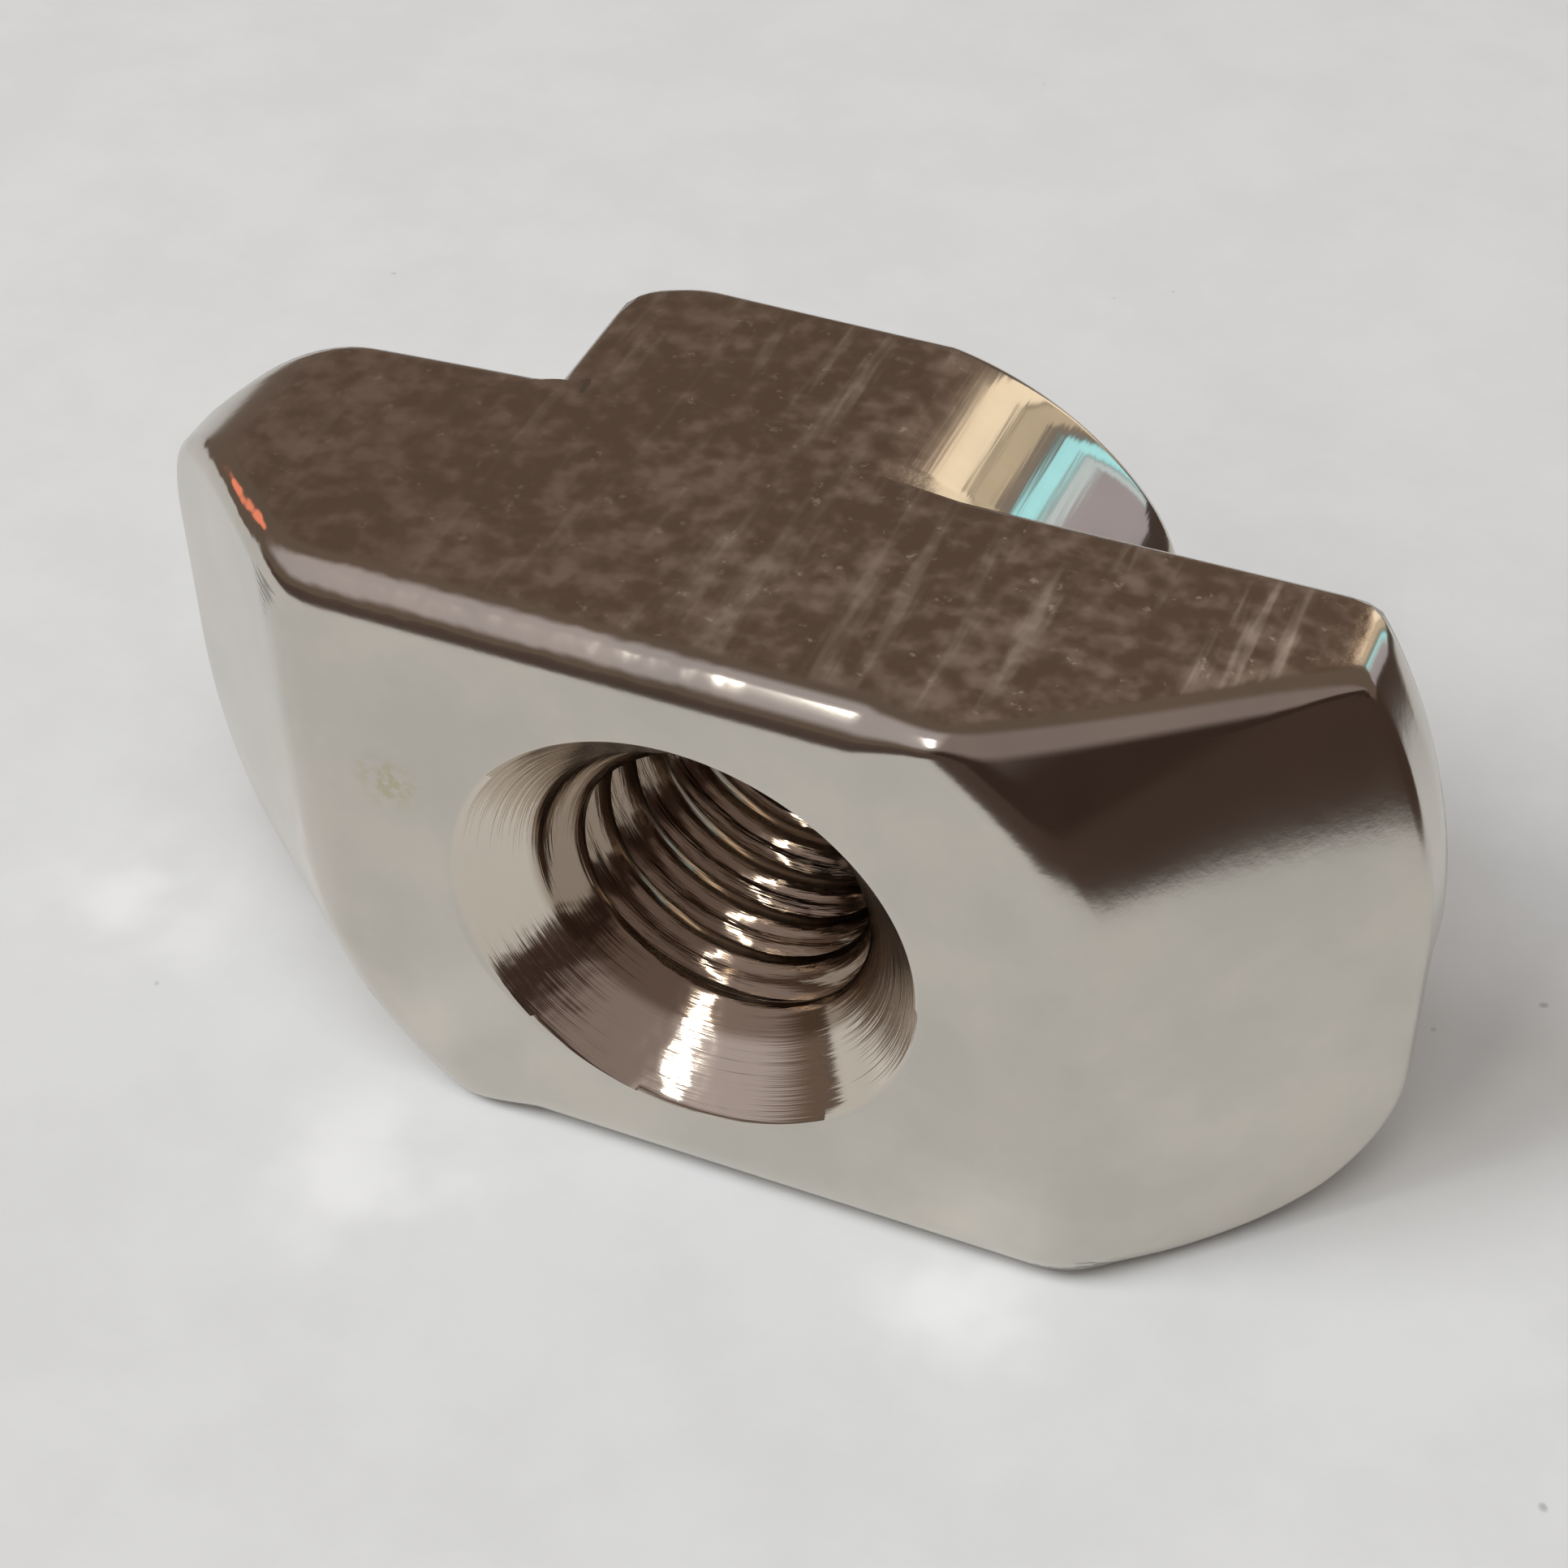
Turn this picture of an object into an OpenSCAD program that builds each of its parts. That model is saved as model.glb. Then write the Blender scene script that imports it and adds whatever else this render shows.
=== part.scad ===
// Drop-in hammer nut for a 6 mm aluminium profile slot, thread M3.
// It goes into the slot lengthwise, turns a quarter turn clockwise and its
// shoulders then pull against the inner side of the slot lips.
// The nut stands on one side wall: +X along its length, +Y from the flat face
// to the top of the boss, +Z up. The origin is under its middle.

/* [Head] */
// Width across the two side walls, a little less than the slot
nut_w = 5.8; // [5.4:0.1:7.6]
// Radius of the round ends about the thread axis, half of the overall length
end_r = 5.6; // [5.4:0.1:7]
// Height of the head, from the flat face to the shoulders
head_h = 3; // [2.6:0.1:3.8]
// Half the length of the flat face, to where its slants start
face_half = 3.4; // [3:0.1:4]
// Angle of the slants at both ends of the flat face
slant_a = 42; // [36:1:42]
// Radius of the bend from the flat face to a slant
bend_r = 0.8; // [0.2:0.1:1.2]
// Radius of the two corners that stop the nut after its quarter turn
stop_r = 1.6; // [1.4:0.1:2.2]
// Radius of the crown that lowers the shoulders towards the ends
crown_r = 1.3; // [1.2:0.1:2]
// Width of the crown, measured inwards from the ends
crown_w = 1; // [0.4:0.1:1]

/* [Boss] */
// Length of the boss between its flanks
boss_l = 5.5; // [5:0.1:5.6]
// Lean of the flanks, which turn a little with the milled corners
boss_lean = 9; // [6:0.5:10]
// Height of the boss over the shoulders
boss_h = 1.7; // [1:0.1:2.4]
// Radius along the top of each flank
boss_top_r = 0.6; // [0.1:0.05:0.8]
// Fillet at the foot of each flank
root_r = 0.2; // [0.1:0.05:0.4]

/* [Milled corners] */
// Radius of the two milled corners of the boss, about the thread axis
boss_arc_r = 2.95; // [2.95:0.05:3.2]
// Diameter of the end mill that rounds two corners of the boss
mill_d = 3; // [2:0.5:4]
// Depth that the mill goes below the shoulders
mill_depth = 0.25; // [0.05:0.05:0.4]
// Radius on the corner of the mill
mill_corner_r = 0.3; // [0.1:0.05:0.5]

/* [Thread] */
// Nominal thread diameter
thread_d = 3; // [2.5:0.5:3.5]
// Thread pitch
thread_pitch = 0.5; // [0.45:0.05:0.6]
// Mouth of the countersink in the flat face
face_sink_d = 4.1; // [3.6:0.1:4.6]
// Mouth of the countersink in the boss
boss_sink_d = 3.4; // [3.1:0.1:4]

/* [Edges] */
// Radius along the long edges of the side walls
edge_r = 0.3; // [0.1:0.05:0.4]
// Radius of the corners between the side walls and the round ends
corner_r = 0.4; // [0.2:0.05:0.8]

/* [Hidden] */
$fn = 96;
nut_h = head_h + boss_h;
half_w = nut_w / 2;
bore_r = (thread_d - thread_pitch) / 2;
slant_run = end_r - face_half;
slant_h = slant_run * tan(slant_a);
bend_t = bend_r * tan(slant_a / 2);
corner_a = 10;                  // crease that the corner radius leaves at each side
corner_in = corner_r * cos(corner_a);
corner_y = half_w - corner_in;
corner_x = sqrt(pow(end_r - corner_in, 2) - pow(corner_y, 2));
eps = 0.01;
over = 1;                       // how far cutters reach past what they cut

// A square corner less its fillet: what a rounding of radius r takes away
module corner_waste(r) {
    difference() {
        translate([-eps, -eps]) square(r + eps);
        translate([r, r]) circle(r);
    }
}

// Rounds the edge along X where the faces y = 0 and z = 0 meet
module edge_cutter(r, length) {
    rotate([90, 0, 90])
        translate([0, 0, -length / 2]) linear_extrude(length) corner_waste(r);
}

// Half of the section below the shoulders: flat face, bend and slant
module slant_section() {
    bend = [face_half - bend_t, bend_r];
    difference() {
        polygon([
            [0, 0],
            [face_half, 0],
            [face_half + slant_run, slant_h],
            [face_half + slant_run, slant_h + head_h],
            [0, slant_h + head_h]
        ]);
        difference() {
            polygon([
                bend,
                [bend[0], -eps],
                [face_half, -eps],
                [face_half + bend_t * cos(slant_a) + eps, bend_t * sin(slant_a) - eps]
            ]);
            translate(bend) circle(bend_r);
        }
    }
}

// The two quarters of the plan where the nut is relieved so that it can turn
module relieved_quarters(height) {
    for (side = [0, 180])
        rotate([0, 0, side])
            translate([0, -end_r - over, 0]) cube([end_r + over, end_r + over, height]);
}

// Under side of the head: straight slants, and cones in the relieved quarters
module head_under() {
    difference() {
        for (end = [0, 1])
            mirror([end, 0, 0]) rotate([90, 0, 0])
                translate([0, 0, -half_w - over])
                    linear_extrude(nut_w + 2 * over) slant_section();
        translate([0, 0, -over]) relieved_quarters(head_h + slant_h + 2 * over);
    }
    intersection() {
        rotate_extrude() slant_section();
        relieved_quarters(head_h + slant_h);
    }
}

// Turned crown: flat shoulders that fall away towards the ends
module head_crown() {
    start = end_r - crown_w;
    rotate_extrude() {
        square([start, head_h]);
        intersection() {
            translate([start, head_h - crown_r]) circle(crown_r);
            translate([start - eps, 0]) square(head_h + over);
        }
        square([end_r + over, head_h - crown_r]);
    }
}

// Round end of a relieved quarter, its corner softened
module round_quarter() {
    corner = [corner_x, corner_y];
    outside = corner * (end_r + over) / norm(corner);
    difference() {
        intersection() {
            circle(end_r);
            translate([-eps, -eps]) square([end_r + eps, half_w + eps]);
        }
        difference() {
            polygon([
                corner,
                [corner[0], half_w + over],
                [outside[0], half_w + over],
                outside
            ]);
            translate(corner) circle(corner_r);
        }
    }
}

// Square quarter, whose fuller corner stops the nut across the slot
module stop_quarter() {
    difference() {
        translate([-eps, -eps]) square([end_r + eps, half_w + eps]);
        translate([end_r, half_w]) rotate(180) corner_waste(stop_r);
    }
}

// Plan of the head: round and square quarters in turn
module head_plan() {
    for (side = [0, 180])
        rotate(side) {
            mirror([0, 1]) round_quarter();
            stop_quarter();
        }
}

module head() {
    intersection() {
        head_under();
        head_crown();
        linear_extrude(head_h) head_plan();
    }
}

// Section of the boss between its flanks, with round tops and a fillet at its foot
module boss_section() {
    half_l = boss_l / 2;
    difference() {
        translate([-half_l, head_h - eps]) square([boss_l, boss_h + eps]);
        for (end = [0, 1])
            mirror([end, 0]) translate([half_l, nut_h]) rotate(180) corner_waste(boss_top_r);
    }
    for (end = [0, 1])
        mirror([end, 0])
            translate([half_l - eps, head_h - eps])
                difference() {
                    square(root_r + eps);
                    translate([root_r + eps, root_r + eps]) circle(root_r);
                }
}

// Boss before it is milled: leaning flanks, cut off level with the side walls
module boss_bar() {
    intersection() {
        rotate([0, 0, boss_lean]) rotate([90, 0, 0])
            linear_extrude(2 * nut_w, center = true) boss_section();
        translate([-end_r, -half_w, 0]) cube([2 * end_r, nut_w, nut_h]);
    }
}

// What stays of the boss where the mill goes round it, with the fillet at its foot
module mill_core(floor_h) {
    r = mill_corner_r;
    translate([0, 0, floor_h]) {
        cylinder(r = boss_arc_r, h = nut_h);
        rotate_extrude()
            difference() {
                translate([0, -r]) square([boss_arc_r + r, 2 * r]);
                translate([boss_arc_r + r, r]) circle(r);
            }
    }
}

// The end mill rounds two corners of the boss and runs out beside its flanks
module milled_away() {
    floor_h = head_h - mill_depth;
    reach = nut_h - floor_h + over;
    difference() {
        translate([0, 0, floor_h]) {
            relieved_quarters(reach);
            for (side = [0, 180])
                rotate([0, 0, side])
                    translate([boss_arc_r + mill_d / 2, 0, 0]) cylinder(d = mill_d, h = reach);
        }
        mill_core(floor_h);
    }
}

// Long edges of the flat face and of its straight slants
module long_edge_rounding() {
    for (side = [0, 180])
        rotate([0, 0, side])
            translate([0, -half_w, 0]) {
                edge_cutter(edge_r, 2 * face_half + edge_r);
                translate([-face_half, 0, 0]) rotate([0, slant_a, 0])
                    translate([-slant_run, 0, 0]) edge_cutter(edge_r, 2 * slant_run);
            }
}

// Threaded hole at its core diameter, countersunk 90 degrees at both ends
module bore() {
    translate([0, 0, -over]) cylinder(r = bore_r, h = nut_h + 2 * over);
    translate([0, 0, -eps])
        cylinder(r1 = face_sink_d / 2 + eps, r2 = bore_r - eps, h = face_sink_d / 2 - bore_r + 2 * eps);
    translate([0, 0, nut_h + eps]) mirror([0, 0, 1])
        cylinder(r1 = boss_sink_d / 2 + eps, r2 = bore_r - eps, h = boss_sink_d / 2 - bore_r + 2 * eps);
}

module nut() {
    color("silver")
        translate([0, -nut_h / 2, half_w]) rotate([-90, 0, 0])
            difference() {
                union() {
                    head();
                    boss_bar();
                }
                milled_away();
                long_edge_rounding();
                bore();
            }
}

nut();
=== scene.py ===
import math

import bmesh
import bpy
import numpy as np
from mathutils import Matrix, Vector


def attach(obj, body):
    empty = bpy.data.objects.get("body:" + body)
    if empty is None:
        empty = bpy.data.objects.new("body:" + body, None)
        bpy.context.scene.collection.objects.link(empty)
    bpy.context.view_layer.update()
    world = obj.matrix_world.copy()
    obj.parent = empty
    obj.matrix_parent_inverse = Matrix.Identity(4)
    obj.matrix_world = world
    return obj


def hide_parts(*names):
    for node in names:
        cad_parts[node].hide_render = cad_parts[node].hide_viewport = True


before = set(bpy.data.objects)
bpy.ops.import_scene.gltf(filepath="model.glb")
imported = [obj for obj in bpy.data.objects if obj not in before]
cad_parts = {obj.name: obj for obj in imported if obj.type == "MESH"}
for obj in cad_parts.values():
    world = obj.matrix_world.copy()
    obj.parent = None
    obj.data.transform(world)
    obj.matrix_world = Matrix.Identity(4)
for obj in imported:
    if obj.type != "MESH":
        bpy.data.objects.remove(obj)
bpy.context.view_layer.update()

mm = 0.001
tiny = 1e-6                          # keeps divisions away from zero
print("frame loaded")

nutSizes = {
    # millimetres, about the thread axis
    "width": 5.8,                    # across the side walls
    "height": 4.7,                   # flat face to top of the boss
    "endR": 5.6,                     # round ends
    "headH": 3.0,                    # flat face to the shoulders
    "millDrop": 0.25,                # how far the milled floors lie below them
    "slant": math.radians(42),
    "slantBend": (3.4, 0.8),         # where the slants start, and the radius of their bend
    "coneBend": (3.52, 0.55),        # the same for the cones, away from the slants
    "coneTurn": 0.55,                # sine of the angle at which they have that bend in full
    "shoulderFall": 0.12,            # slope of the shoulders down from the boss
    "fallStart": 0.9,                # how far from the flanks that slope starts
    "crownR": 0.72,                  # shoulders falling away at the ends
    "tipR": 0.12,                    # edge between the shoulders and the walls
    "stopR": 1.6,                    # corners of the two square quarters
    "cornerPower": 60.0,             # the higher, the tighter the upright corners
    "bossHalf": 2.75,                # middle to a flank
    "bossLean": math.radians(9),     # lean of the flanks
    "bossArc": 2.95,                 # milled corners
    "bossTopR": 0.72,                # top of each flank
    "bossRimR": 0.13,                # softened rim elsewhere
    "rimRun": 0.35,                  # distance from a flank in which that rim grows
    "rootR": 0.2,                    # foot of the boss
    "millMid": 4.45,                 # where the mill stops beside each flank
    "millR": 1.5,
    "millRunOut": 0.1,               # width of the slope at the edge of the pocket
    "edgeR": 0.42,                   # along the side walls
    "endEdgeR": 0.16,                # along the ends
    "mouthR": 2.05,                  # countersink in the flat face
    "bossMouthR": 1.7,               # countersink in the boss
    "boreR": 1.25,
    "majorR": 1.5,
    "pitch": 0.5,
    "threadFlank": math.radians(30),
    "crestShare": 0.6,               # crests, as a share of crests and valleys
    # points along each part of the grid
    "counts": {"turn": 384, "face": 44, "edge": 8, "wall": 9, "tip": 4, "floor": 20,
               "root": 5, "boss": 8, "top": 12, "lid": 9, "flank": 3},
}


def softMin(a, b, power):
    return (a ** -power + b ** -power) ** (-1 / power)


def span(count):
    # one row from 0 to 1, without the 0
    return np.linspace(0, 1, count)[None, 1:]


def quarters(angle):
    # true in the two quarters that are relieved and milled
    return np.sin(2 * angle) > 0


def headRim(angle):
    # distance from the thread axis to the outline of the head
    z = nutSizes
    half, cosA, sinA = z["width"] / 2, np.abs(np.cos(angle)), np.abs(np.sin(angle))
    wall = half / np.maximum(sinA, tiny)
    flat = z["endR"] / np.maximum(cosA, tiny)
    midX, midZ = z["endR"] - z["stopR"], half - z["stopR"]
    away = np.clip(z["stopR"] ** 2 - (midX * sinA - midZ * cosA) ** 2, 0, None)
    corner = midX * cosA + midZ * sinA + np.sqrt(away)
    square = np.where(flat * sinA < midZ, flat, np.where(wall * cosA < midX, wall, corner))
    return np.where(quarters(angle), softMin(z["endR"] + 0 * wall, wall, z["cornerPower"]), square)


def underside(s, half, radius):
    # height and slope of the flat face, its bend and its slant at distance s
    slant = nutSizes["slant"]
    tangent = radius * math.tan(slant / 2)
    start, end = half - tangent, half + tangent * math.cos(slant)
    d = np.clip(s - start, 0, radius * math.sin(slant))
    up = np.sqrt(radius ** 2 - d ** 2)
    height = np.where(s > end, (s - half) * math.tan(slant), radius - up)
    return height, np.where(s > end, math.tan(slant), d / up)


def lowSide(angle, r):
    # straight slants in the square quarters, cones in the relieved ones
    slantBend, coneBend = nutSizes["slantBend"], nutSizes["coneBend"]
    turned = np.clip(np.abs(np.sin(angle)) / nutSizes["coneTurn"], 0, 1)
    turned = turned * turned * (3 - 2 * turned)
    half, radius = (slantBend[i] + (coneBend[i] - slantBend[i]) * turned for i in (0, 1))
    flat, flatSlope = underside(r * np.abs(np.cos(angle)), *slantBend)
    cone, coneSlope = underside(r + 0 * angle, half, radius)
    return np.where(quarters(angle), cone, flat), np.where(quarters(angle), coneSlope, flatSlope)


def shoulder(angle, r):
    # shoulders with their crown, and the floors that the mill left
    z = nutSizes
    steepest = 0.97                  # part of the crown's radius that is used
    d = np.clip(r - z["endR"] + z["crownR"], 0, z["crownR"] * steepest)
    crown = z["headH"] - z["crownR"] + np.sqrt(z["crownR"] ** 2 - d ** 2)
    fall = np.where(quarters(angle), 0, z["shoulderFall"])
    crown = crown - fall * np.clip(r - z["bossHalf"] - z["fallStart"], 0, None)
    fromMill = np.hypot(r * np.abs(np.cos(angle)) - z["millMid"], r * np.sin(angle))
    pocket = np.clip((z["millR"] - fromMill) / z["millRunOut"], 0, 1)
    milled = np.maximum(quarters(angle) + 0 * r, pocket)
    return np.minimum(crown, z["headH"] - z["millDrop"] * milled)


def bossTop(angle, r):
    # flat top, rounded down to the two leaning flanks
    z = nutSizes
    inward = z["bossHalf"] - r * np.abs(np.cos(angle + z["bossLean"]))
    d = np.clip(z["bossTopR"] - inward, 0, z["bossTopR"])
    return z["height"] - z["bossTopR"] + np.sqrt(z["bossTopR"] ** 2 - d ** 2)


def outside(turn):
    # radius and height of the grid from the mouth of the thread, round the outside,
    # to the countersink in the boss: one row for each angle in turn
    z, n = nutSizes, nutSizes["counts"]
    widest = 2.4                     # limit on how far a slanting rim stretches its edge
    sideFrom, sideRun = 0.7, 0.25    # sine of the outward angle where the side walls start
    angle = turn[:, None]
    rim = headRim(angle)
    lean = np.gradient(rim[:, 0], turn)[:, None] / rim
    stretch = np.minimum(np.sqrt(1 + lean ** 2), widest)
    outward = angle - np.arctan(lean)
    onSide = np.clip((np.abs(np.sin(outward)) - sideFrom) / sideRun, 0, 1)
    edge = z["edgeR"] * onSide + z["endEdgeR"] * (1 - onSide)

    # under side, and the rounded edge up to the wall
    rimH, rimSlope = lowSide(angle, rim)
    across = np.where(quarters(angle), np.cos(np.arctan(lean)), np.abs(np.cos(outward)))
    slope = rimSlope * across
    tilt = np.arctan(slope)
    wallLow = rimH + edge * (1 - np.sin(tilt)) / np.cos(tilt)
    v = np.linspace(0, 1, n["face"])[None]
    r = z["mouthR"] + (rim - stretch * edge * (1 - np.sin(tilt)) - z["mouthR"]) * v
    columns = [(r, lowSide(angle, r)[0])]
    a = tilt + (np.pi / 2 - tilt) * span(n["edge"])
    inset = edge * (1 - np.sin(a))
    r = rim - stretch * inset
    lift = wallLow - edge * np.cos(a) - rimH + slope * inset
    columns.append((r, lowSide(angle, r)[0] + lift))

    # wall, tip and shoulder
    tipShare, rootShare = 0.5, 0.4   # most of the gap beside the boss that each radius takes
    flank = z["bossHalf"] / np.maximum(np.abs(np.cos(angle + z["bossLean"])), tiny)
    wall = z["width"] / 2 / np.maximum(np.abs(np.sin(angle)), tiny)
    milled = np.minimum(np.minimum(flank, wall), z["bossArc"])
    square = softMin(flank, wall, z["cornerPower"])
    boss = np.minimum(np.where(quarters(angle), milled, square), rim)
    gap = rim - boss
    tip = np.minimum(z["tipR"], gap * tipShare)
    root = np.minimum(z["rootR"], gap * rootShare)
    wallTop = shoulder(angle, rim) - tip
    v = span(n["wall"])
    columns.append((rim + 0 * v, wallLow + (wallTop - wallLow) * v))
    a = np.pi / 2 * span(n["tip"])
    over = shoulder(angle, rim - tip) - wallTop
    columns.append((rim - tip * (1 - np.cos(a)), wallTop + over * np.sin(a)))
    r = rim - tip + (boss + root - rim + tip) * span(n["floor"])
    columns.append((r, shoulder(angle, r)))

    # boss: foot, wall, rounded top and lid
    foot = shoulder(angle, boss + root)
    a = np.pi / 2 * span(n["root"])
    columns.append((boss + root * (1 - np.sin(a)), foot + root * (1 - np.cos(a))))
    thinnest = 0.05                  # lid that stays round the countersink
    fromFlank = z["bossHalf"] - boss * np.abs(np.cos(angle + z["bossLean"]))
    soft = z["bossRimR"] * np.clip(fromFlank / z["rimRun"], 0, 1)
    topIn = np.minimum(z["bossTopR"] * boss / z["bossHalf"], boss - z["bossMouthR"] - thinnest)
    head = bossTop(angle, boss) - soft
    foot = foot + root
    v = span(n["boss"])
    columns.append((boss + 0 * v, foot + (head - foot) * v))
    r = boss - topIn * (1 - np.cos(np.pi / 2 * span(n["top"])))
    left = np.clip(soft - boss + r, 0, None)
    columns.append((r, bossTop(angle, r) - soft + np.sqrt(soft ** 2 - left ** 2)))
    r = boss - topIn + (z["bossMouthR"] - boss + topIn) * span(n["lid"])
    columns.append((r, bossTop(angle, r)))
    return [np.concatenate([column[i] + 0 * angle for column in columns], 1) for i in (0, 1)]


def bore(turn):
    # the thread between its countersinks, on rows that climb with the helix
    z = nutSizes
    flankRun = (z["majorR"] - z["boreR"]) * math.tan(z["threadFlank"])
    crest = z["crestShare"] * (z["pitch"] - 2 * flankRun)
    valley = z["pitch"] - 2 * flankRun - crest
    profile = [0, crest, crest + flankRun, crest + flankRun + valley, z["pitch"]]
    radii = [z["boreR"], z["boreR"], z["majorR"], z["majorR"], z["boreR"]]
    points = z["counts"]["flank"]
    steps = [np.linspace(a, b, points)[:-1] for a, b in zip(profile, profile[1:])]
    turns = np.arange(int(z["height"] / z["pitch"]) + 2)[:, None]
    rows = (np.concatenate(steps)[None] + z["pitch"] * turns).ravel()
    climb = z["pitch"] * turn[:, None] / (2 * np.pi)
    h = np.clip(rows[None] - climb, 0, z["height"])
    r = np.interp((h + climb) % z["pitch"], profile, radii)
    return np.maximum(r, np.maximum(z["mouthR"] - h, z["bossMouthR"] - z["height"] + h)), h


def addGrid(bm, turn, r, h):
    # the thread axis lies along Y, at half the width above the floor
    x = r * np.cos(turn)[:, None]
    y = h - nutSizes["height"] / 2
    up = r * np.sin(turn)[:, None] + nutSizes["width"] / 2
    points = np.stack([x, y, up], -1) * mm
    verts = [[bm.verts.new(p) for p in row] for row in points]
    for row, nextRow in zip(verts, verts[1:]):
        for j in range(len(row) - 1):
            bm.faces.new((row[j], nextRow[j], nextRow[j + 1], row[j + 1]))


def makeNut():
    weld, speck = 2e-7, 1e-7         # metres
    turn = np.linspace(0, 2 * np.pi, nutSizes["counts"]["turn"] + 1)
    bm = bmesh.new()
    addGrid(bm, turn, *outside(turn))
    addGrid(bm, turn, *bore(turn))
    bmesh.ops.remove_doubles(bm, verts=bm.verts, dist=weld)
    bmesh.ops.dissolve_degenerate(bm, edges=bm.edges, dist=speck)
    bmesh.ops.recalc_face_normals(bm, faces=bm.faces)
    mesh = bpy.data.meshes.new("nutBody")
    bm.to_mesh(mesh)
    openEdges = sum(1 for e in bm.edges if len(e.link_faces) != 2)
    volume = round(bm.calc_volume() / mm ** 3, 1)
    print("nut:", len(bm.faces), "faces,", openEdges, "open edges,", volume, "mm3")
    bm.free()
    mesh.shade_smooth()
    piece = bpy.data.objects.new("nutBody", mesh)
    bpy.context.scene.collection.objects.link(piece)
    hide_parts("nut")
    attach(piece, "root")
    return piece


class Wire:
    # one output socket, so that shader maths reads as plain expressions

    def __init__(self, tree, socket=None):
        self.tree = tree
        self.socket = socket

    def node(self, kind, settings=None, values=None, out=0):
        made = self.tree.nodes.new("ShaderNode" + kind)
        for key, value in (settings or {}).items():
            setattr(made, key, value)
        for key, value in (values or {}).items():
            self.feed(made.inputs[key], value)
        return Wire(self.tree, made.outputs[out])

    def feed(self, socket, value):
        if isinstance(value, Wire):
            self.tree.links.new(value.socket, socket)
        else:
            socket.default_value = value

    def isVector(self, value):
        return isinstance(value, tuple) or isinstance(value, Wire) and value.socket.type != "VALUE"

    def math(self, operation, a, b=None):
        values = {0: a} if b is None else {0: a, 1: b}
        if not any(self.isVector(v) for v in values.values()):
            return self.node("Math", {"operation": operation}, values)
        for key, value in values.items():
            if isinstance(value, (int, float)):
                values[key] = (value, value, value)
        return self.node("VectorMath", {"operation": operation}, values)

    def __add__(self, other):
        return self.math("ADD", self, other)

    def __radd__(self, other):
        return self.math("ADD", other, self)

    def __sub__(self, other):
        return self.math("SUBTRACT", self, other)

    def __rsub__(self, other):
        return self.math("SUBTRACT", other, self)

    def __mul__(self, other):
        return self.math("MULTIPLY", self, other)

    def __rmul__(self, other):
        return self.math("MULTIPLY", other, self)

    def __abs__(self):
        return self.math("ABSOLUTE", self)

    def parts(self):
        split = self.node("SeparateXYZ", values={0: self}).socket.node
        return [Wire(self.tree, split.outputs[i]) for i in range(3)]

    def between(self, low, high):
        # 0 at low, 1 at high, eased
        values = {"Value": self, "From Min": low, "From Max": high}
        return self.node("MapRange", {"interpolation_type": "SMOOTHSTEP"}, values)

    def mix(self, first, second):
        # two colours, by this factor: sockets 6 and 7 are the colours, output 2 theirs
        values = {0: self, 6: first, 7: second}
        return self.node("Mix", {"data_type": "RGBA", "clamp_factor": True}, values, out=2)

    def noise(self, scale, detail, roughness):
        values = {"Vector": self, "Scale": scale, "Detail": detail, "Roughness": roughness}
        return self.node("TexNoise", values=values)

    def compare(self, operation, other):
        # one number from two vectors
        return self.node("VectorMath", {"operation": operation}, {0: self, 1: other}, "Value")


def newMaterial(name):
    material = bpy.data.materials.new(name)
    material.use_nodes = True
    tree = material.node_tree
    return material, tree.nodes["Principled BSDF"], Wire(tree)


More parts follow.
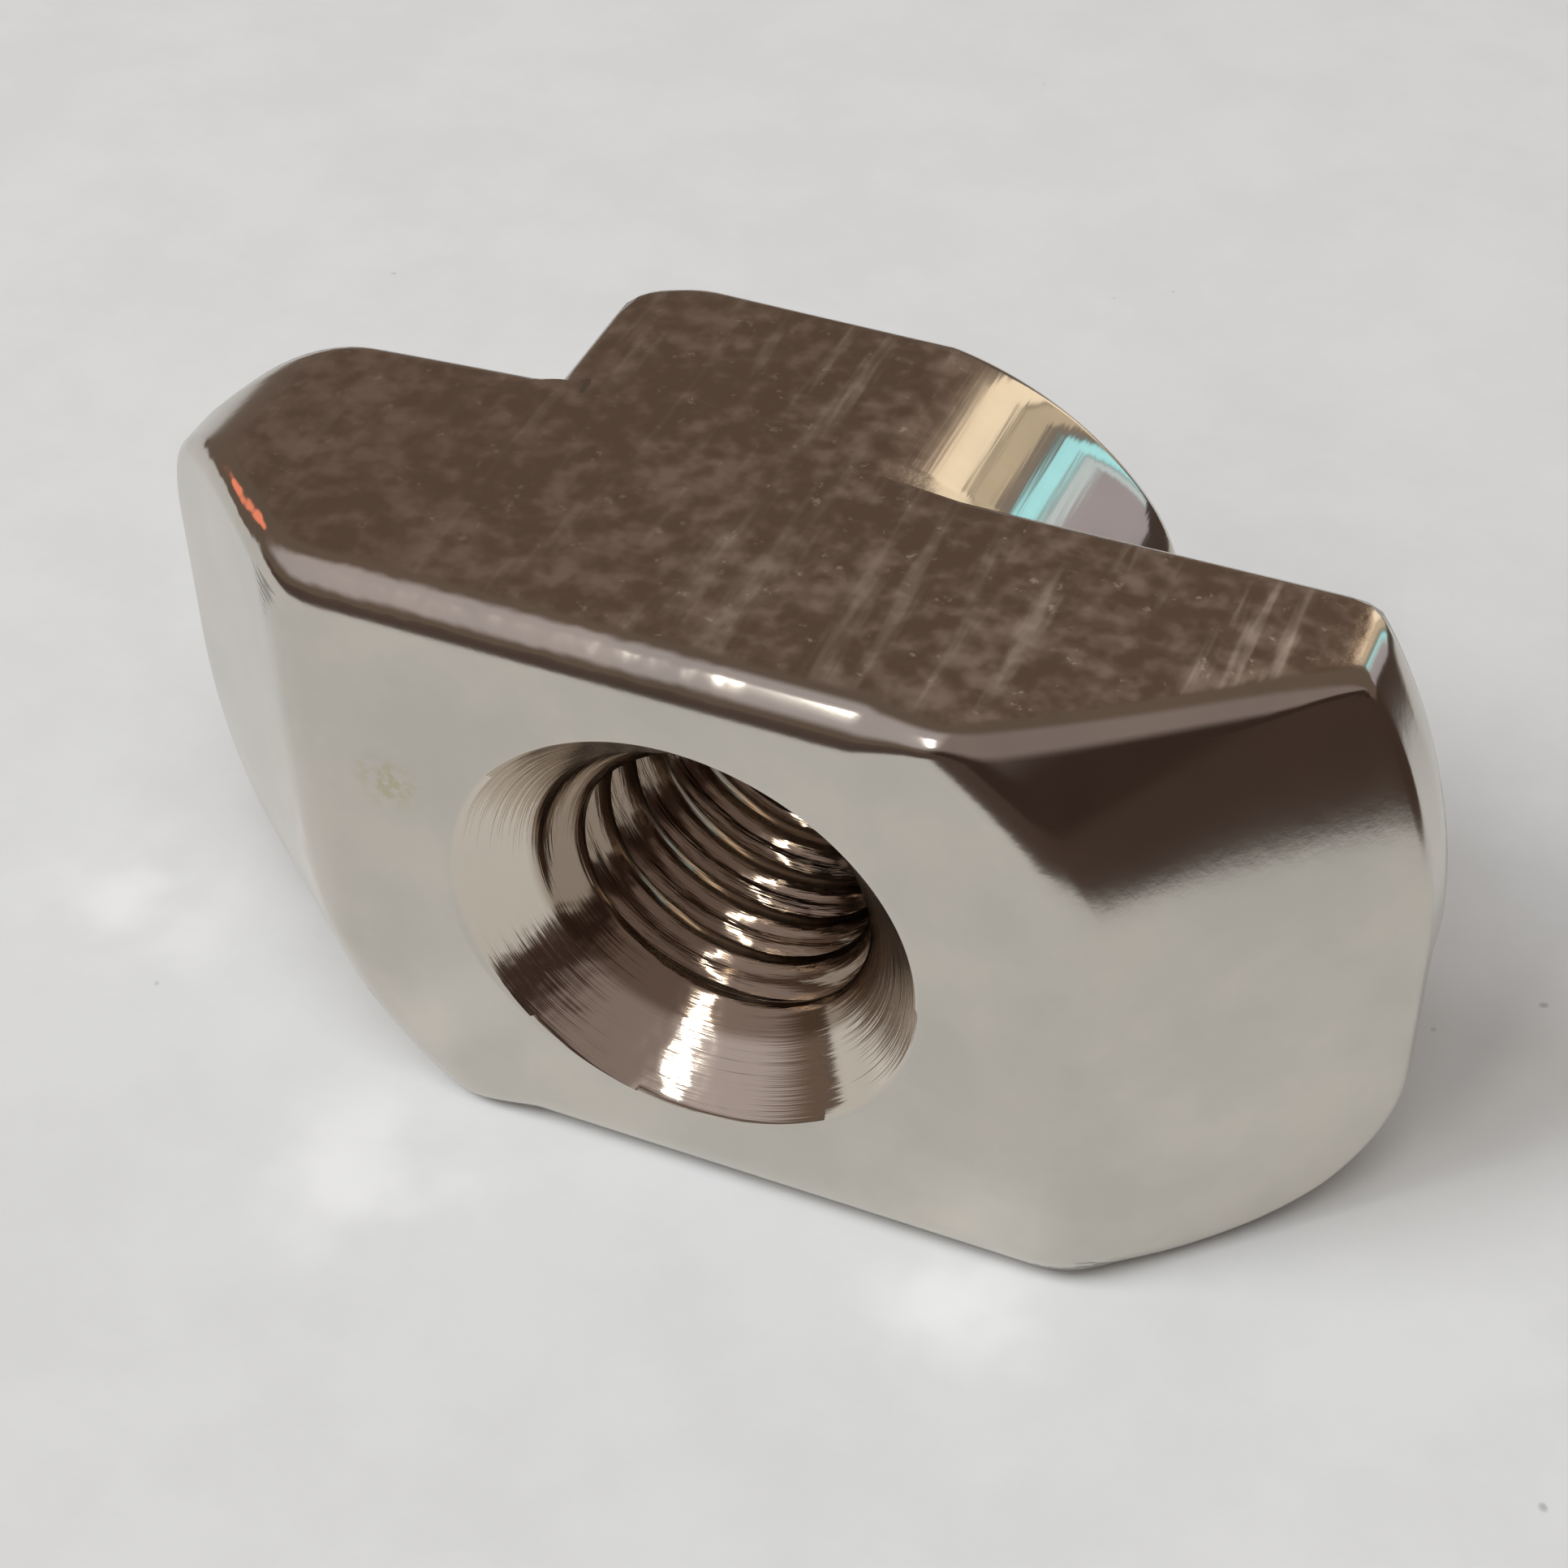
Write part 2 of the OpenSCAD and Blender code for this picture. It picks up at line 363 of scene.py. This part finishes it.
nickelLooks = {
    # colours
    "face": (0.635, 0.592, 0.530, 1),
    "faceDull": (0.575, 0.548, 0.495, 1),
    "wall": (0.47, 0.395, 0.335, 1),
    "cloud": (0.60, 0.51, 0.44, 1),
    "scar": (0.74, 0.65, 0.56, 1),
    "turned": (0.67, 0.60, 0.52, 1),
    # painted shade inside the thread
    "boreShade": (0.34, 0.27, 0.21, 1),
    "stain": (0.50, 0.47, 0.30, 1),
    "stainAt": (-2.55, -2.35, 3.75),     # millimetres
    "stainGain": 0.8,
    # where the finishes change: components of the normal, or millimetres
    "wallSlope": (0.93, 0.985),
    "edgeSlope": (0.2, 0.4),
    "edgeFront": (0.1, 0.25),
    "arcFrom": (0.62, 0.70),
    "arcInner": (2.90, 2.94),
    "arcOuter": (2.96, 3.0),
    "mouthSoft": (0.04, 0.02),           # inside and past the mouth of the countersink
    "threadEdge": (1.5, 1.6),
    "stainEdge": (0.05, 0.4),
    "beadsEnd": (0.3, 0.6),
    # noises: scale for a millimetre, detail, roughness
    "tint": (0.8, 4.0, 0.6),
    "clouds": (1.3, 4.0, 0.6),
    "blotches": (4.5, 2.0, 0.5),
    "grain": (8.0, 3.0, 0.6),
    "beads": (4.4, 1.0, 0.4),
    "scars": (1.0, 3.0, 0.6),
    "lines": (1.0, 2.0, 0.5),
    "rings": (1.0, 3.0, 0.7),
    # how those in one direction are squeezed
    "scarSqueeze": (4.2, 0.40, 1.0),
    "lineSqueeze": (12.0, 0.5, 12.0),
    "ringSqueeze": (16.0, 0.3),          # across the turning marks, along the nut
    # the part of each noise that shows
    "tintShown": (0.35, 0.65),
    "mottleShown": (0.42, 0.66),
    "scarShown": (0.53, 0.74),
    "speckShown": (0.63, 0.74),
    "stainShown": (0.4, 0.6),
    # wear grows along the nut: least, most, and from where to where
    "wear": (0.35, 0.65, -3.5, 2.0),
    "scarWear": (0.35, 0.65, 1.0, 4.5),
    "bossScars": (0.4, 0.9, 1.3),
    "marks": {"scars": 0.65, "specks": 0.4, "mottle": 0.24},
    # finish
    "faceRough": 0.13,
    "wallRough": 0.25,
    "cloudRough": 0.08,
    "markRough": 0.25,
    "arcShine": 0.08,
    "edgeShine": 0.06,
    "markDull": 0.32,                    # metal lost under the marks
    # bumps, in millimetres
    "bumps": {"clouds": 0.012, "grain": 0.005, "rings": 0.007, "beads": 0.009,
              "fine": 0.0012, "lines": 0.0015},
}


def nickelPlate():
    looks, part, bumps = nickelLooks, nickelLooks["marks"], nickelLooks["bumps"]
    material, bsdf, wire = newMaterial("nickelPlate")
    place = wire.node("TexCoord", out="Object") * (1 / mm)
    x, y, up = place.parts()
    turnedTo = wire.node("NewGeometry", out="Normal").parts()
    side = up - nutSizes["width"] / 2
    radius = wire.math("SQRT", x * x + side * side)
    onWall = abs(turnedTo[2]).between(*looks["wallSlope"])
    onArc = y.between(*looks["arcFrom"]) * (1 - radius.between(*looks["arcOuter"]))
    onArc = onArc * radius.between(*looks["arcInner"])
    facingFront = (0 - turnedTo[1]).between(*looks["edgeFront"])
    onEdge = turnedTo[2].between(*looks["edgeSlope"]) * facingFront
    mouth, (inside, past) = nutSizes["mouthR"], looks["mouthSoft"]
    inHole = 1 - radius.between(mouth - inside, mouth + past)
    inThread = 1 - radius.between(*looks["threadEdge"])

    # side walls: clouded, with pale scars across them and fine specks
    clouds = place.noise(*looks["clouds"])
    grain = place.noise(*looks["grain"])
    mottle = clouds * 0.5 + place.noise(*looks["blotches"]) * 0.5
    mottle = mottle.between(*looks["mottleShown"])
    scars = (place * looks["scarSqueeze"]).noise(*looks["scars"]).between(*looks["scarShown"])
    least, most, start, end = looks["scarWear"]
    onBoss, bossStart, bossEnd = looks["bossScars"]
    scars = scars * (least + x.between(start, end) * most + y.between(bossStart, bossEnd) * onBoss)
    specks = grain.between(*looks["speckShown"])
    least, most, start, end = looks["wear"]
    worn = least + x.between(start, end) * most
    marks = scars * part["scars"] + specks * part["specks"] + mottle * part["mottle"]
    marks = onWall * worn * marks

    # beads on the front edge, lines on the milled arc, rings in the hole
    beads = (1 - x.between(*looks["beadsEnd"])) * onEdge * place.noise(*looks["beads"])
    lines = (place * looks["lineSqueeze"]).noise(*looks["lines"])
    turning, along = looks["ringSqueeze"]
    rings = wire.node("CombineXYZ", values={0: radius * turning, 1: y * turning, 2: x * along})
    rings = rings.noise(*looks["rings"])

    tint = place.noise(*looks["tint"]).between(*looks["tintShown"])
    colour = tint.mix(looks["face"], looks["faceDull"])
    colour = onWall.mix(colour, looks["wall"])
    colour = (onWall * mottle).mix(colour, looks["cloud"])
    colour = marks.mix(colour, looks["scar"])
    colour = inHole.mix(colour, looks["turned"])
    # painted shade: the thread is coloured darker, where shade falls in the bore
    colour = inThread.mix(colour, looks["boreShade"])
    away = place.compare("DISTANCE", looks["stainAt"])
    stain = (1 - away.between(*looks["stainEdge"])) * grain.between(*looks["stainShown"])
    colour = (stain * looks["stainGain"]).mix(colour, looks["stain"])
    rough = looks["faceRough"] + onWall * (looks["wallRough"] - looks["faceRough"])
    rough = rough + clouds * looks["cloudRough"] + marks * looks["markRough"]
    rough = rough - onArc * looks["arcShine"] - onEdge * looks["edgeShine"]
    offArc = 1 - onArc
    height = onWall * offArc * (clouds * bumps["clouds"] + grain * bumps["grain"])
    height = height + inHole * rings * bumps["rings"] + beads * bumps["beads"]
    height = height + offArc * (1 - onEdge) * grain * bumps["fine"] + onArc * lines * bumps["lines"]
    bump = wire.node("Bump", values={"Strength": 1.0, "Distance": mm, "Height": height})

    wire.feed(bsdf.inputs["Base Color"], colour)
    wire.feed(bsdf.inputs["Roughness"], rough)
    wire.feed(bsdf.inputs["Metallic"], 1 - marks * looks["markDull"])
    wire.feed(bsdf.inputs["Normal"], bump)
    return material


paperLooks = {
    "half": 0.4,                         # metres
    "rough": 0.85,
    "sheet": (0.590, 0.601, 0.602, 1),
    "fibre": (0.566, 0.576, 0.577, 1),
    "speck": (0.36, 0.37, 0.38, 1),
    "darkBeyond": (0.050, 0.030, 0.022, 1),
    "lit": (0.74, 0.75, 0.755, 1),
    "bright": [
        # painted light: paler patches where light thrown down by the metal lands; millimetres, how
        # strong
        ((-6.2, -1.2, 0), 1.6, 0.55),
        ((-2.6, -3.4, 0), 1.5, 0.60),
        ((2.7, -2.8, 0), 1.2, 0.65),
    ],
    "brightCore": 0.2,                   # full strength within this radius
    # the paper turns dark this far to the right and to the front, except for the camera
    "reach": (12.5, 12.5),
    "reachSoft": 2,
    # noises: scale for a millimetre, detail, roughness
    "fibres": (0.55, 5.0, 0.65),
    "specks": (2.6, 1.0, 0.4),
    "ripples": (0.9, 2.0, 0.5),
    # the part of each noise that shows
    "fibreShown": (0.35, 0.65),
    "speckShown": (0.80, 0.84),
    "rippleShown": (0.3, 0.7),
}


def greyPaper():
    # the camera sees paper all over; the metal and bounced light see it turn dark past a set reach
    looks = paperLooks
    material, bsdf, wire = newMaterial("greyPaper")
    place = wire.node("TexCoord", out="Object") * (1 / mm)
    x, y = place.parts()[:2]
    fibres = place.noise(*looks["fibres"]).between(*looks["fibreShown"])
    colour = fibres.mix(looks["sheet"], looks["fibre"])
    specks = place.noise(*looks["specks"]).between(*looks["speckShown"])
    # painted light: pools of light thrown down by the metal, painted as paler paper
    for middle, radius, gain in looks["bright"]:
        away = place.compare("DISTANCE", middle)
        ripples = place.noise(*looks["ripples"]).between(*looks["rippleShown"])
        paintedLightPatch = (1 - away.between(looks["brightCore"], radius)) * ripples
        colour = (paintedLightPatch * gain).mix(colour, looks["lit"])
    colour = specks.mix(colour, looks["speck"])
    # past the reach the paper is coloured dark, seen only by the metal and by bounced light
    right, front = looks["reach"]
    pastRight = x.between(right, right + looks["reachSoft"])
    pastFront = (0 - y).between(front, front + looks["reachSoft"])
    pastReach = wire.math("MAXIMUM", pastRight, pastFront)
    seen = wire.node("LightPath", out="Is Camera Ray")
    colour = (pastReach * (1 - seen)).mix(colour, looks["darkBeyond"])
    wire.feed(bsdf.inputs["Base Color"], colour)
    bsdf.inputs["Roughness"].default_value = looks["rough"]
    return material


roomLooks = {
    "back": (0.172, 0.126, 0.100, 1),
    "horizon": (0.050, 0.030, 0.024, 1),
    "frontRight": (0.29, 0.235, 0.220, 1),
    "frontLeft": (0.52, 0.465, 0.47, 1),
    "horizonLeft": (0.17, 0.125, 0.098, 1),
    "seen": (0.60, 0.602, 0.60, 1),
    "panes": [
        # behind the nut from left to right: where a pane starts and ends, colour
        (0.085, 0.120, (0.42, 0.34, 0.27, 1)),
        (0.135, 0.285, (1.40, 1.17, 0.88, 1)),
        (0.300, 0.400, (0.78, 0.64, 0.46, 1)),
        (0.400, 0.440, (0.31, 0.25, 0.21, 1)),
        (0.455, 0.520, (0.62, 1.25, 1.36, 1)),
        (0.530, 0.570, (0.80, 0.92, 0.98, 1)),
        (0.570, 1.500, (0.50, 0.45, 0.48, 1)),
    ],
    "paneSoft": 0.012,
    "paneBehind": (0.66, 0.70),
    "glint": ((-0.93, 0.12, 0.32), (1.35, 0.42, 0.26, 1)),
    "glintEdge": (0.9935, 0.9975),       # cosines from the middle of the glint
    # directions over which one part of the room gives way to the next
    "behindFrom": (-0.3, -0.05),
    "rightFrom": (-0.22, 0.05),
    "upFrom": (0.15, 0.42),
}


def dimRoom():
    # the camera sees a pale backdrop; the metal and the light see the room
    looks = roomLooks
    world = bpy.data.worlds.new("dimRoom")
    world.use_nodes = True
    wire = Wire(world.node_tree)
    towards = wire.node("TexCoord", out="Generated")
    x, y, up = towards.parts()
    behind = y.between(*looks["behindFrom"])
    toRight = x.between(*looks["rightFrom"])
    front = toRight.mix(looks["frontLeft"], looks["frontRight"])
    horizon = toRight.mix(looks["horizonLeft"], looks["horizon"])
    front = up.between(*looks["upFrom"]).mix(horizon, front)
    colour = behind.mix(front, looks["back"])
    soft = looks["paneSoft"]
    for start, end, pane in looks["panes"]:
        inside = x.between(start - soft, start + soft) * (1 - x.between(end - soft, end + soft))
        colour = (inside * y.between(*looks["paneBehind"])).mix(colour, pane)
    direction, glow = looks["glint"]
    glint = towards.compare("DOT_PRODUCT", tuple(Vector(direction).normalized()))
    colour = glint.between(*looks["glintEdge"]).mix(colour, glow)
    seen = wire.node("LightPath", out="Is Camera Ray")
    background = world.node_tree.nodes["Background"]
    wire.feed(background.inputs["Color"], seen.mix(colour, looks["seen"]))
    bpy.context.scene.world = world


lampPlan = {
    # place, width and length in metres, power in watts, colour
    "window": ((-0.175, -0.140, 0.2695), (0.14, 0.14), 0.82, (0.955, 0.985, 1.0)),
    "tube": ((-0.0575, -0.207, 0.204), (0.016, 0.14), 0.17, (1.0, 0.98, 0.92)),
    "fill": ((0.07, -0.105, 0.3255), (0.16, 0.16), 0.44, (0.955, 0.985, 1.0)),
}


def addLamps():
    for name, (at, size, power, colour) in lampPlan.items():
        lamp = bpy.data.lights.new(name, "AREA")
        lamp.shape = "RECTANGLE"
        lamp.size, lamp.size_y = size
        lamp.energy = power
        lamp.color = colour
        held = bpy.data.objects.new(name, lamp)
        held.location = at
        # each lamp looks at the origin
        tiltX, tiltY = math.asin(-at[1] / Vector(at).length), math.atan2(at[0], at[2])
        held.rotation_euler = (tiltX, tiltY, 0)
        held.visible_glossy = name == "tube"      # only the tube shows in the metal
        bpy.context.scene.collection.objects.link(held)


def addPaper():
    sheet = bpy.data.meshes.new("paper")
    half = paperLooks["half"]
    corners = [(-half, -half, 0), (half, -half, 0), (half, half, 0), (-half, half, 0)]
    sheet.from_pydata(corners, [], [(0, 1, 2, 3)])
    sheet.materials.append(greyPaper())
    piece = bpy.data.objects.new("paper", sheet)
    bpy.context.scene.collection.objects.link(piece)


shot = {
    "aim": (-0.011, -0.167, 2.740),      # millimetres
    "distance": 26.654,
    "azimuth": math.radians(23.617),
    "elevation": math.radians(42.912),
    "roll": math.radians(0.986),
    "focal": 3857.4,                     # in pixels of the square frame
    "frame": 1932.0,
    "sensor": 36,                        # millimetres
    "nearest": 0.001,                    # metres
    "furthest": 10,
}


def addCamera():
    azimuth, elevation, roll = shot["azimuth"], shot["elevation"], shot["roll"]
    forward = Vector((
        -math.sin(azimuth) * math.cos(elevation),
        math.cos(azimuth) * math.cos(elevation),
        -math.sin(elevation),
    ))
    level = Vector((math.cos(azimuth), math.sin(azimuth), 0))
    right = math.cos(roll) * level + math.sin(roll) * forward.cross(level)
    down = forward.cross(right)
    lens = bpy.data.cameras.new("shot")
    lens.sensor_width = shot["sensor"]
    lens.lens = shot["focal"] / shot["frame"] * shot["sensor"]
    lens.clip_start = shot["nearest"]
    lens.clip_end = shot["furthest"]
    held = bpy.data.objects.new("shot", lens)
    turn = Matrix((right, -down, -forward)).transposed().to_4x4()
    at = (Vector(shot["aim"]) - forward * shot["distance"]) * mm
    held.matrix_world = Matrix.Translation(at) @ turn
    bpy.context.scene.collection.objects.link(held)
    bpy.context.scene.camera = held


nut = makeNut()
nut.data.materials.append(nickelPlate())
print("nut finished")
dimRoom()
addLamps()
addPaper()
addCamera()
bpy.context.scene.view_settings.view_transform = "Standard"
print("room, paper and camera placed")
